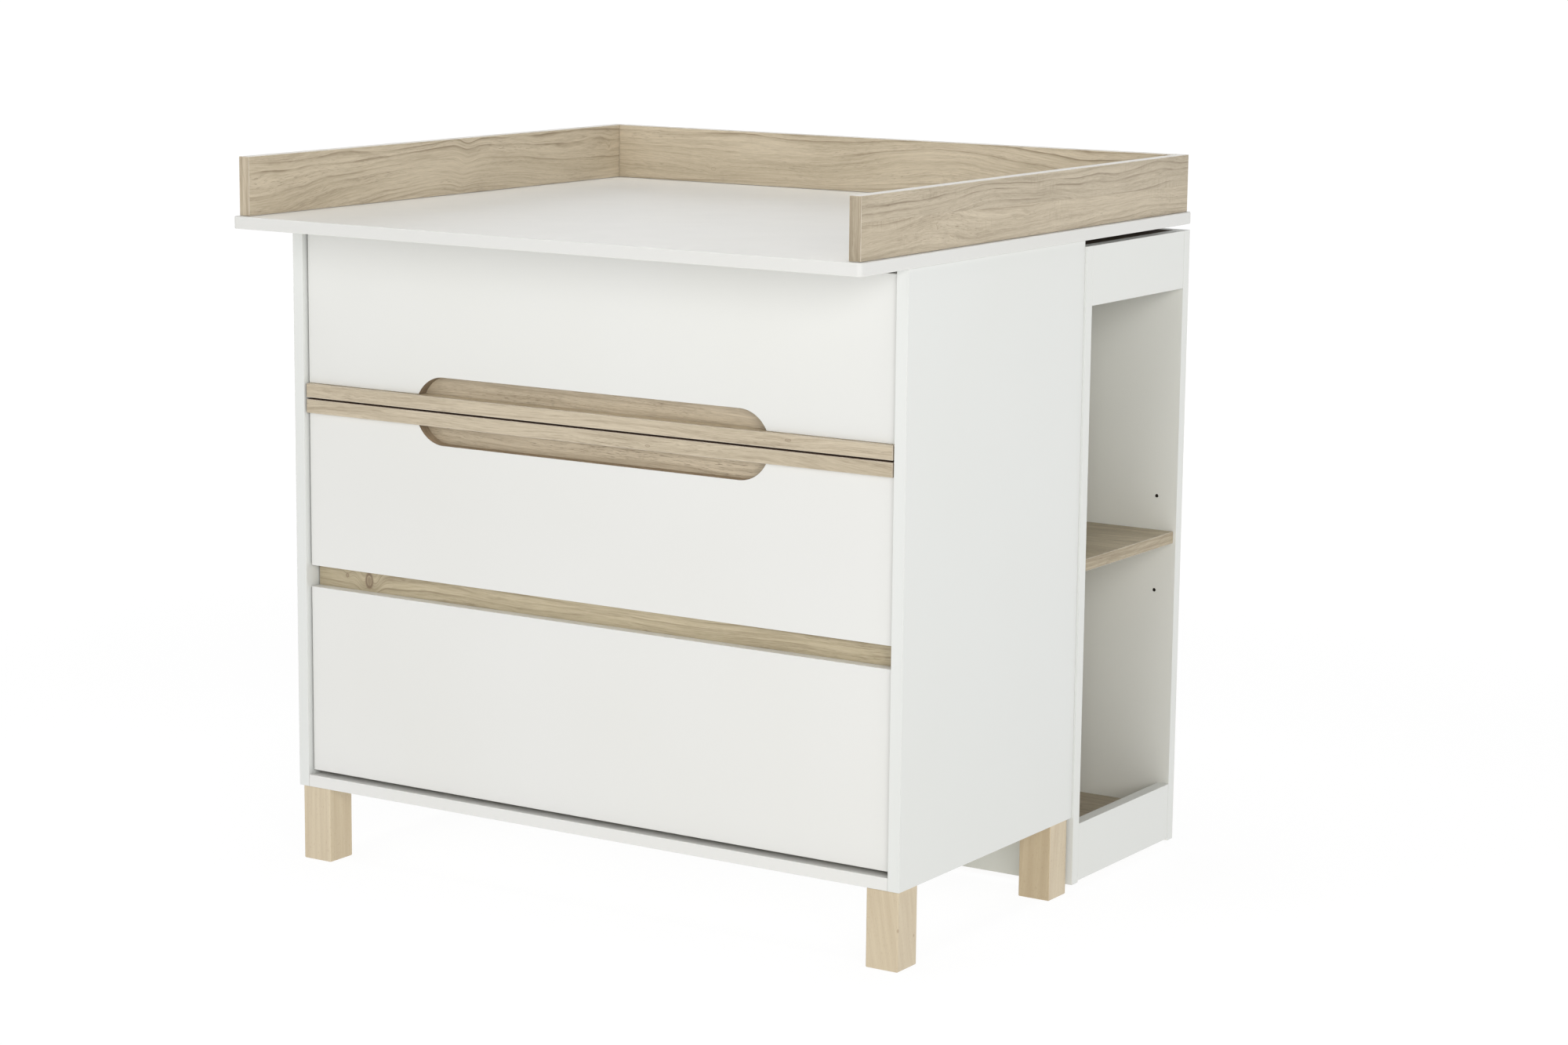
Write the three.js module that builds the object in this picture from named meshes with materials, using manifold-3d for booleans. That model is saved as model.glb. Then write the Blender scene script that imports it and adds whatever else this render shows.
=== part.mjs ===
// Changing table: a three-drawer chest on beech legs, a wide changing top with a guard on
// three sides, and a side-access shelf unit hung on the chest's back.
//
// Millimetres, +Z up. The origin is on the floor, under the middle of the changing top.
// +X runs to the right along the drawer fronts, and the drawers open towards -Y.

import * as THREE from 'three';
import { mergeVertices } from 'three/addons/utils/BufferGeometryUtils.js';
import Module from 'manifold-3d';

const wasm = await Module();
wasm.setup();

// ---------------------------------------------------------------- driving dimensions
const BOARD = 16;               // thickness of every chipboard panel
const FIT = 0.3;                // air left between two pieces that are screwed together

const TOP_WIDTH = 930;          // changing board
const TOP_DEPTH = 836;
const TOP_CORNER = 6;           // its corner radius in plan
const TOP_OVERHANG = 112;       // how far it stands out over the drawer fronts
const GUARD_HEIGHT = 75;
const GUARD_INSET = 5;          // guard rail to board edge
const GUARD_FRONT_INSET = 8;    // guard rail's front end to board edge

const CHEST_WIDTH = 924;
const CHEST_DEPTH = 432;
const CHEST_BASE = 100;         // underside of the chest above the floor
const CHEST_TOP = 844.7;        // top edges of its side panels
const BACK_THICK = 4;           // hardboard
const BACK_INSET = 2;           // hardboard to the rear edges of the sides

const LEG = 45;
const LEG_EDGE = 2;
const LEG_INSET_SIDE = 3;
const LEG_INSET_FRONT = 4;
const LEG_INSET_REAR = 5.5;

const FRONT_RECESS = 7.2;       // drawer fronts behind the side panels' front edges
const FRONT_GAP = 2.7;          // air at each end of a drawer front
const BAR_HEIGHT = 18;          // grip bar across the two upper drawers' joint
const BAR_PROUD = 6;            // how far it stands out from the fronts
const JOINT_Z = 618;            // middle of the joint between the two grip bars
const JOINT_GAP = 2.4;
const RECESS_RADIUS = 43.6;     // finger recess: a stadium round the joint
const RECESS_HALF_STRAIGHT = 224.5;

const TOP_FRONT_TOP = 837.5;
const MIDDLE_FRONT_BOTTOM = 396.7;
const BOTTOM_FRONT_TOP = 368.5;
const BOTTOM_FRONT_BOTTOM = 121.6;
const BOTTOM_SUBFRONT_TOP = 394; // the wooden strip above the bottom front

const BOX_SIDE = 12;            // drawer box boards
const BOX_LENGTH = 350;
const BOX_LIFT = 24;            // box sides above the lower edge of the front
const FLOOR_THICK = 4;          // drawer bottom, hardboard
const FLOOR_LIFT = 10;          // its groove above the lower edge of the box sides
const GROOVE_DEPTH = 6;
const GROOVE_AIR = 0.4;

const RUNNER_SPACE = 13.5;      // side panel to drawer box
const RUNNER_HEIGHT = 28;
const RUNNER_LENGTH = 350;
const RUNNER_SHEET = 1.2;
const RUNNER_SHELF_Z = 14.2;    // the drawer member's rolling flange above the channel's foot
const RUNNER_CLEAR = 0.8;       // channel to drawer member

const UNIT_WIDTH = 930;         // rear shelf unit
const UNIT_BOTTOM = 10.7;
const UNIT_TOP = 837.3;
const UNIT_INNER_DEPTH = 255;
const UNIT_RAIL_HEIGHT = 76;
const UNIT_RAIL_LIFT = 2.7;     // bottom rail above the foot of the panels
const UNIT_FLOOR_TOP = 59.5;
const UNIT_SHELF_TOP = 435.5;
const UNIT_SHELF_INSET = 3.4;
const SHELF_AIR = 1;
const PIN_HOLE_RADIUS = 2.5;
const PIN_HOLE_DEPTH = 10;
const PIN_PITCH = 64;
const PIN_END_INSET = 30;       // pin holes to the unit's open end
const PIN_MIDDLE_INSET = 40;    // pin holes to the divider

const BOLT_RADIUS = 3;          // four bolts hang the unit on the chest's side panels
const BOLT_HOLE_RADIUS = 3.5;
const BOLT_LENGTH = 60;
const BOLT_HEAD_RADIUS = 6.5;
const BOLT_HEAD = 3;
const BOLT_SOCKET_RADIUS = 2.3;
const BOLT_SOCKET_DEPTH = 2;
const BOLT_HEIGHTS = { lower: 180, upper: 700 };

// ---------------------------------------------------------------- derived places
const FRONT_Y = -TOP_DEPTH / 2 + TOP_OVERHANG;        // front edges of the chest's sides
const CHEST_BACK_Y = FRONT_Y + CHEST_DEPTH;
const SIDE_X = CHEST_WIDTH / 2;                       // outer faces of the chest
const INNER_X = SIDE_X - BOARD;                       // inner faces of its sides
const TOP_Z = CHEST_TOP + FIT;                        // underside of the changing board
const FACE_Y = FRONT_Y + FRONT_RECESS;                // faces of the white fronts
const SUBFRONT_Y = FACE_Y + BOARD + FIT;
const BOX_Y = SUBFRONT_Y + BOARD + FIT;               // front ends of the drawer box sides
const FRONT_HALF = INNER_X - FRONT_GAP;
const BOX_X = INNER_X - RUNNER_SPACE;                 // outer faces of the drawer boxes
const BARS_MEET = { above: JOINT_Z + JOINT_GAP / 2, below: JOINT_Z - JOINT_GAP / 2 };
const BOLT_X = SIDE_X - BOARD / 2;                    // middle of a side panel's rear edge
const UNIT_Y = CHEST_BACK_Y + FIT;                    // front face of the shelf unit

// ---------------------------------------------------------------- materials
function finish(color, roughness, metalness = 0) {
  return () => new THREE.MeshStandardMaterial({ color, roughness, metalness });
}
const whiteBoard = finish(0xe9e9e6, 0.45);
const oakDecor = finish(0xbfa98a, 0.6);
const beech = finish(0xdcc09a, 0.55);
const whiteSteel = finish(0xdededc, 0.4, 0.2);
const zincSteel = finish(0xb4b6b8, 0.35, 0.9);
const hardboard = finish(0xe4e3de, 0.65);

// ---------------------------------------------------------------- builders
function piece(name, geometry, material, x = 0, y = 0, z = 0) {
  const mesh = new THREE.Mesh(geometry, material());
  mesh.name = name;
  mesh.position.set(x, y, z);
  return mesh;
}

// A plain board between the given limits on each axis.
function board(name, material, [x0, x1], [y0, y1], [z0, z1]) {
  const geometry = new THREE.BoxGeometry(x1 - x0, y1 - y0, z1 - z0);
  return piece(name, geometry, material, (x0 + x1) / 2, (y0 + y1) / 2, (z0 + z1) / 2);
}

// A shape drawn in X and Z, extruded along +Y from y = 0.
function alongY(shape, length, curveSegments = 12) {
  const geometry = new THREE.ExtrudeGeometry(shape, { depth: length, bevelEnabled: false, curveSegments });
  return geometry.rotateX(Math.PI / 2).translate(0, length, 0);
}

function polygon(points) {
  return new THREE.Shape(points.map(([x, y]) => new THREE.Vector2(x, y)));
}

// A rectangle about the origin with round corners.
function roundedRectangle(width, depth, radius) {
  const x = width / 2 - radius;
  const y = depth / 2 - radius;
  const shape = new THREE.Shape();
  shape.absarc(x, y, radius, 0, Math.PI / 2);
  shape.absarc(-x, y, radius, Math.PI / 2, Math.PI);
  shape.absarc(-x, -y, radius, Math.PI, Math.PI * 1.5);
  shape.absarc(x, -y, radius, Math.PI * 1.5, Math.PI * 2);
  return shape;
}

function toSolid(geometry) {
  const bare = geometry.clone();
  bare.deleteAttribute('normal');
  bare.deleteAttribute('uv');
  const merged = mergeVertices(bare);
  return new wasm.Manifold(new wasm.Mesh({
    numProp: 3,
    vertProperties: new Float32Array(merged.attributes.position.array),
    triVerts: new Uint32Array(merged.index.array),
  }));
}

function cut(geometry, cutters) {
  const left = cutters.reduce((solid, cutter) => solid.subtract(toSolid(cutter)), toSolid(geometry));
  const mesh = left.getMesh();
  const result = new THREE.BufferGeometry();
  result.setAttribute('position', new THREE.BufferAttribute(new Float32Array(mesh.vertProperties), 3));
  result.setIndex(new THREE.BufferAttribute(new Uint32Array(mesh.triVerts), 1));
  result.computeVertexNormals();
  return result;
}

// A hole along Y, long enough for a connecting bolt on each side of the given point.
function boltHole(x, y, z) {
  const hole = new THREE.CylinderGeometry(BOLT_HOLE_RADIUS, BOLT_HOLE_RADIUS, 2 * BOLT_LENGTH, 16);
  return hole.translate(x, y, z);
}

// ---------------------------------------------------------------- chest carcass and legs
function chest() {
  const group = new THREE.Group();
  const inner = [-INNER_X + FIT, INNER_X - FIT];
  const backY = CHEST_BACK_Y - BACK_INSET - BACK_THICK;
  const boardsEnd = backY - FIT;
  const middleZ = (CHEST_BASE + CHEST_TOP) / 2;
  for (const [name, side] of [['left', -1], ['right', 1]]) {
    const panel = new THREE.BoxGeometry(BOARD, CHEST_DEPTH, CHEST_TOP - CHEST_BASE);
    const holes = Object.values(BOLT_HEIGHTS).map((z) => boltHole(0, CHEST_DEPTH / 2, z - middleZ));
    const y = FRONT_Y + CHEST_DEPTH / 2;
    group.add(piece(`chest_side_${name}`, cut(panel, holes), whiteBoard, side * BOLT_X, y, middleZ));
  }
  const topFront = BOX_Y + 2 * FIT;      // stands clear behind the top drawer's front
  group.add(
    board('chest_top', whiteBoard, inner, [topFront, boardsEnd], [CHEST_TOP - BOARD, CHEST_TOP]),
    board('chest_bottom', whiteBoard, inner, [FRONT_Y, boardsEnd], [CHEST_BASE, CHEST_BASE + BOARD]),
    board('chest_back', hardboard, inner, [backY, backY + BACK_THICK], [CHEST_BASE, CHEST_TOP]),
  );
  return group;
}

function legs() {
  const group = new THREE.Group();
  const height = CHEST_BASE - FIT;
  const x = SIDE_X - LEG_INSET_SIDE - LEG / 2;
  const frontY = FRONT_Y + LEG_INSET_FRONT + LEG / 2;
  const rearY = CHEST_BACK_Y - LEG_INSET_REAR - LEG / 2;
  for (const [end, y] of [['front', frontY], ['rear', rearY]]) {
    for (const [side, sign] of [['left', -1], ['right', 1]]) {
      const section = roundedRectangle(LEG, LEG, LEG_EDGE);
      const options = { depth: height, bevelEnabled: false, curveSegments: 3 };
      const geometry = new THREE.ExtrudeGeometry(section, options);
      group.add(piece(`leg_${end}_${side}`, geometry, beech, sign * x, y, 0));
    }
  }
  return group;
}

// ---------------------------------------------------------------- changing top
function changingTop() {
  const group = new THREE.Group();
  group.position.z = TOP_Z;
  const plan = roundedRectangle(TOP_WIDTH, TOP_DEPTH, TOP_CORNER);
  const options = { depth: BOARD, bevelEnabled: false, curveSegments: 6 };
  group.add(piece('changing_board', new THREE.ExtrudeGeometry(plan, options), whiteBoard));

  const railX = TOP_WIDTH / 2 - GUARD_INSET;
  const railFront = -TOP_DEPTH / 2 + GUARD_FRONT_INSET;
  const railRear = TOP_DEPTH / 2 - GUARD_INSET;
  const z = [BOARD + FIT, BOARD + GUARD_HEIGHT];
  for (const [name, side] of [['left', -1], ['right', 1]]) {
    const x = [side * (railX - BOARD), side * railX].sort((a, b) => a - b);
    group.add(board(`guard_rail_${name}`, oakDecor, x, [railFront, railRear], z));
  }
  const backHalf = railX - BOARD - FIT;
  group.add(board('guard_rail_back', oakDecor, [-backHalf, backHalf], [railRear - BOARD, railRear], z));
  return group;
}

// ---------------------------------------------------------------- drawers
// A front board from z0 to z1. recess 'above': the grip bar runs under it; 'below': over it.
// The finger recess is the part of a stadium about the joint that falls within the board.
function frontOutline(z0, z1, recess) {
  if (!recess) {
    return polygon([[-FRONT_HALF, z0], [FRONT_HALF, z0], [FRONT_HALF, z1], [-FRONT_HALF, z1]]);
  }
  const up = recess === 'above' ? 1 : -1;
  const [barEdge, farEdge] = up > 0 ? [z0, z1] : [z1, z0];
  const start = Math.asin(Math.abs(barEdge - JOINT_Z) / RECESS_RADIUS);
  const quarter = Math.PI / 2;
  const endX = RECESS_HALF_STRAIGHT;
  const shape = new THREE.Shape();
  shape.moveTo(-FRONT_HALF, farEdge);
  shape.lineTo(FRONT_HALF, farEdge);
  shape.lineTo(FRONT_HALF, barEdge);
  shape.absarc(endX, JOINT_Z, RECESS_RADIUS, up * start, up * quarter, up < 0);
  shape.absarc(-endX, JOINT_Z, RECESS_RADIUS, up * quarter, up * (2 * quarter - start), up < 0);
  shape.lineTo(-FRONT_HALF, barEdge);
  return shape;
}

// The drawer member: a foot under the box side, a web up its face and a rolling flange.
// X grows outwards from the box side's face, and Z up from the foot of the channel.
function drawerMemberSection(side) {
  const web = FIT + RUNNER_SHEET;
  const reach = RUNNER_SPACE - FIT - RUNNER_SHEET - RUNNER_CLEAR;
  const foot = -BOX_SIDE * 0.8;
  const base = -RUNNER_SHEET - FIT;
  const points = [
    [foot, base], [web, base],
    [web, RUNNER_SHELF_Z - RUNNER_SHEET], [reach, RUNNER_SHELF_Z - RUNNER_SHEET],
    [reach, RUNNER_SHELF_Z], [FIT, RUNNER_SHELF_Z],
    [FIT, base + RUNNER_SHEET], [foot, base + RUNNER_SHEET],
  ];
  return polygon(points.map(([x, z]) => [side * (BOX_X + x), z]));
}

// The cabinet member: a channel screwed to the chest's side, open towards the drawer.
function cabinetMemberSection(side) {
  const mouth = FIT + RUNNER_SHEET + RUNNER_CLEAR;
  const back = RUNNER_SPACE - FIT;
  const top = RUNNER_HEIGHT;
  const sheet = RUNNER_SHEET;
  const points = [
    [mouth, 0], [back, 0], [back, top], [mouth, top],
    [mouth, top - sheet], [back - sheet, top - sheet], [back - sheet, sheet], [mouth, sheet],
  ];
  return polygon(points.map(([x, z]) => [side * (BOX_X + x), z]));
}

// One box side with the groove that holds the drawer bottom.
function boxSideSection(side, height) {
  const slot0 = FLOOR_LIFT - GROOVE_AIR;
  const slot1 = FLOOR_LIFT + FLOOR_THICK + GROOVE_AIR;
  const outer = BOX_X;
  const inner = BOX_X - BOX_SIDE;
  const points = [
    [inner, 0], [outer, 0], [outer, height], [inner, height],
    [inner, slot1], [inner + GROOVE_DEPTH, slot1], [inner + GROOVE_DEPTH, slot0], [inner, slot0],
  ];
  return polygon(points.map(([x, z]) => [side * x, z]));
}

// bottom: lower edge of the whole drawer. front0, front1: limits of its white front.
// subTop: top of the wooden sub-front. recess: 'above' or 'below' for a drawer with a bar.
function drawer({ label, bottom, front0, front1, subTop, recess, boxHeight }) {
  const group = new THREE.Group();
  const boxZ = bottom + BOX_LIFT;
  const front = alongY(frontOutline(front0, front1, recess), BOARD);
  group.add(piece(`${label}_front`, front, whiteBoard, 0, FACE_Y));

  if (recess) {
    const barZ = recess === 'above' ? BARS_MEET.above : BARS_MEET.below - BAR_HEIGHT;
    const x = [-FRONT_HALF, FRONT_HALF];
    const y = [FACE_Y - BAR_PROUD, FACE_Y + BOARD];
    group.add(board(`${label}_grip_bar`, oakDecor, x, y, [barZ, barZ + BAR_HEIGHT]));
  }

  // Sub-front, grooved at the back for the drawer bottom.
  const floorZ = boxZ + FLOOR_LIFT;
  const floorHalf = BOX_X - BOX_SIDE + GROOVE_DEPTH - GROOVE_AIR;
  const subHeight = subTop - bottom;
  const sub = new THREE.BoxGeometry(2 * FRONT_HALF, BOARD, subHeight);
  const grooveHeight = FLOOR_THICK + 2 * GROOVE_AIR;
  const groove = new THREE.BoxGeometry(2 * (floorHalf + GROOVE_AIR), 2 * GROOVE_DEPTH, grooveHeight);
  groove.translate(0, BOARD / 2, floorZ + FLOOR_THICK / 2 - bottom - subHeight / 2);
  const subY = SUBFRONT_Y + BOARD / 2;
  group.add(piece(`${label}_subfront`, cut(sub, [groove]), oakDecor, 0, subY, bottom + subHeight / 2));

  // Box sides and the two members of each runner that belong to this drawer.
  for (const [name, side] of [['left', -1], ['right', 1]]) {
    const geometry = alongY(boxSideSection(side, boxHeight), BOX_LENGTH, 1);
    group.add(piece(`${label}_box_side_${name}`, geometry, whiteBoard, 0, BOX_Y, boxZ));
    const member = alongY(drawerMemberSection(side), RUNNER_LENGTH - 2 * FIT, 1);
    group.add(piece(`${label}_drawer_runner_${name}`, member, whiteSteel, 0, BOX_Y + FIT, boxZ));
  }

  // Box back on top of the drawer bottom, which slides in under it.
  const backHalf = BOX_X - BOX_SIDE - FIT;
  const boxEnd = BOX_Y + BOX_LENGTH;
  const backY = [boxEnd - BOX_SIDE, boxEnd];
  const backZ = [floorZ + FLOOR_THICK + FIT, boxZ + boxHeight];
  group.add(board(`${label}_box_back`, whiteBoard, [-backHalf, backHalf], backY, backZ));
  const floorY = [SUBFRONT_Y + BOARD - GROOVE_DEPTH + GROOVE_AIR, boxEnd];
  const floorSpan = [floorZ, floorZ + FLOOR_THICK];
  group.add(board(`${label}_box_floor`, hardboard, [-floorHalf, floorHalf], floorY, floorSpan));
  return group;
}

// Channels on the chest's sides, level with one drawer's box.
function cabinetRunners(label, bottom) {
  const group = new THREE.Group();
  group.position.set(0, BOX_Y + 2 * FIT, bottom + BOX_LIFT);
  for (const [name, side] of [['left', -1], ['right', 1]]) {
    const geometry = alongY(cabinetMemberSection(side), RUNNER_LENGTH, 1);
    group.add(piece(`${label}_cabinet_runner_${name}`, geometry, whiteSteel));
  }
  return group;
}

const DRAWERS = [
  {
    label: 'top_drawer', recess: 'above', bottom: BARS_MEET.above, boxHeight: 150,
    front0: BARS_MEET.above + BAR_HEIGHT + FIT, front1: TOP_FRONT_TOP, subTop: CHEST_TOP - BOARD,
  },
  {
    label: 'middle_drawer', recess: 'below', bottom: MIDDLE_FRONT_BOTTOM, boxHeight: 150,
    front0: MIDDLE_FRONT_BOTTOM, front1: BARS_MEET.below - BAR_HEIGHT - FIT, subTop: BARS_MEET.below,
  },
  {
    label: 'bottom_drawer', recess: null, bottom: BOTTOM_FRONT_BOTTOM, boxHeight: 190,
    front0: BOTTOM_FRONT_BOTTOM, front1: BOTTOM_FRONT_TOP, subTop: BOTTOM_SUBFRONT_TOP,
  },
];

// ---------------------------------------------------------------- rear shelf unit
// A white panel with rows of blind holes for shelf pins on the face that looks inwards.
function unitPanel(name, y0, inwards, boltHeights) {
  const height = UNIT_TOP - UNIT_BOTTOM;
  const middle = (UNIT_TOP + UNIT_BOTTOM) / 2;
  const panel = new THREE.BoxGeometry(UNIT_WIDTH, BOARD, height);
  const shelfPinZ = UNIT_SHELF_TOP - BOARD - PIN_HOLE_RADIUS;
  const columns = [UNIT_WIDTH / 2 - PIN_END_INSET, BOARD / 2 + PIN_MIDDLE_INSET];
  const holes = [];
  for (const side of [-1, 1]) {
    for (const column of columns) {
      for (const step of [-1, 0, 1]) {
        const hole = new THREE.CylinderGeometry(PIN_HOLE_RADIUS, PIN_HOLE_RADIUS, 2 * PIN_HOLE_DEPTH, 12);
        hole.translate(side * column, inwards * BOARD / 2, shelfPinZ + step * PIN_PITCH - middle);
        holes.push(hole);
      }
    }
  }
  for (const z of boltHeights) {
    holes.push(boltHole(-BOLT_X, 0, z - middle), boltHole(BOLT_X, 0, z - middle));
  }
  return piece(name, cut(panel, holes), whiteBoard, 0, y0 + BOARD / 2, middle);
}

// A flat-headed connecting bolt with a hexagon socket; y = 0 is the underside of its head.
function connectingBolt(name, x, y, z) {
  const profile = [
    [0, -BOLT_LENGTH], [BOLT_RADIUS, -BOLT_LENGTH], [BOLT_RADIUS, 0], [BOLT_HEAD_RADIUS, 0],
    [BOLT_HEAD_RADIUS, 0.7 * BOLT_HEAD], [0.85 * BOLT_HEAD_RADIUS, BOLT_HEAD], [0, BOLT_HEAD],
  ].map(([r, h]) => new THREE.Vector2(r, h));
  const socketSize = [BOLT_SOCKET_RADIUS, BOLT_SOCKET_RADIUS, 2 * BOLT_SOCKET_DEPTH, 6];
  const socket = new THREE.CylinderGeometry(...socketSize).translate(0, BOLT_HEAD, 0);
  return piece(name, cut(new THREE.LatheGeometry(profile, 20), [socket]), zincSteel, x, y, z);
}

function rearUnit() {
  const group = new THREE.Group();
  const innerY = [UNIT_Y + BOARD, UNIT_Y + BOARD + UNIT_INNER_DEPTH];
  const betweenY = [innerY[0] + FIT, innerY[1] - FIT];
  const shelfY = [innerY[0] + SHELF_AIR, innerY[1] - SHELF_AIR];
  const half = UNIT_WIDTH / 2;
  const lowRail = UNIT_BOTTOM + UNIT_RAIL_LIFT;
  const fullWidth = [-half + BOARD + FIT, half - BOARD - FIT];
  const dividerZ = [UNIT_FLOOR_TOP + FIT, UNIT_TOP - BOARD - FIT];
  group.add(
    unitPanel('unit_front_panel', UNIT_Y, 1, Object.values(BOLT_HEIGHTS)),
    unitPanel('unit_rear_panel', innerY[1], -1, []),
    board('unit_floor', oakDecor, fullWidth, betweenY, [UNIT_FLOOR_TOP - BOARD, UNIT_FLOOR_TOP]),
    board('unit_top', whiteBoard, fullWidth, betweenY, [UNIT_TOP - BOARD, UNIT_TOP]),
    board('unit_divider', whiteBoard, [-BOARD / 2, BOARD / 2], betweenY, dividerZ),
  );
  for (const [name, side] of [['left', -1], ['right', 1]]) {
    const span = (near, far) => [side * near, side * far].sort((a, b) => a - b);
    const rail = span(half - BOARD, half);
    const highRail = [UNIT_TOP - UNIT_RAIL_HEIGHT, UNIT_TOP];
    const shelf = span(BOARD / 2 + SHELF_AIR, half - UNIT_SHELF_INSET);
    group.add(
      board(`unit_top_rail_${name}`, whiteBoard, rail, betweenY, highRail),
      board(`unit_bottom_rail_${name}`, whiteBoard, rail, betweenY, [lowRail, lowRail + UNIT_RAIL_HEIGHT]),
      board(`unit_shelf_${name}`, oakDecor, shelf, shelfY, [UNIT_SHELF_TOP - BOARD, UNIT_SHELF_TOP]),
    );
    for (const [level, z] of Object.entries(BOLT_HEIGHTS)) {
      group.add(connectingBolt(`unit_bolt_${level}_${name}`, side * BOLT_X, innerY[0] + FIT, z));
    }
  }
  return group;
}

// ---------------------------------------------------------------- the whole table
const table = new THREE.Group();
table.add(chest(), legs(), changingTop(), rearUnit());
for (const spec of DRAWERS) {
  table.add(cabinetRunners(spec.label, spec.bottom), drawer(spec));
}

export default table;
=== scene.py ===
import math

import bpy
import bmesh
from mathutils import Matrix, Vector


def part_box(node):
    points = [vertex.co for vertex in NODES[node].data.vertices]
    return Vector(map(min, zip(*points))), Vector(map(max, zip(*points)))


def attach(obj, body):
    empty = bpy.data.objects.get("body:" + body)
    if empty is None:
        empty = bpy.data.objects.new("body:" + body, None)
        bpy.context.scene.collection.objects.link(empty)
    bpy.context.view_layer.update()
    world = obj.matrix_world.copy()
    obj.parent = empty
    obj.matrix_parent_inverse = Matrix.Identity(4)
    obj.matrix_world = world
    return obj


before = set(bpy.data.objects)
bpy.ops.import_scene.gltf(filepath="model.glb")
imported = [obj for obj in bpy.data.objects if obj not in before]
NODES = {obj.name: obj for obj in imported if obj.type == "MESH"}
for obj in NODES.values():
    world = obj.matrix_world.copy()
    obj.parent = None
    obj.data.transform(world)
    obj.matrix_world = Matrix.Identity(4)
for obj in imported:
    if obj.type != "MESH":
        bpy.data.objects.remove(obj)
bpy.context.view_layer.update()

# Changing table: the looks. Metres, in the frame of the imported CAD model: the drawers open
# towards -Y, +X is to the right along their fronts, and the origin is on the floor.

DRAWERS = ("top_drawer", "middle_drawer", "bottom_drawer")
SIDES = (("left", -1), ("right", 1))
X, Y, Z = 0, 1, 2
FACING = 0.7                  # a normal's least share along an axis, for a face that looks that way


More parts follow.
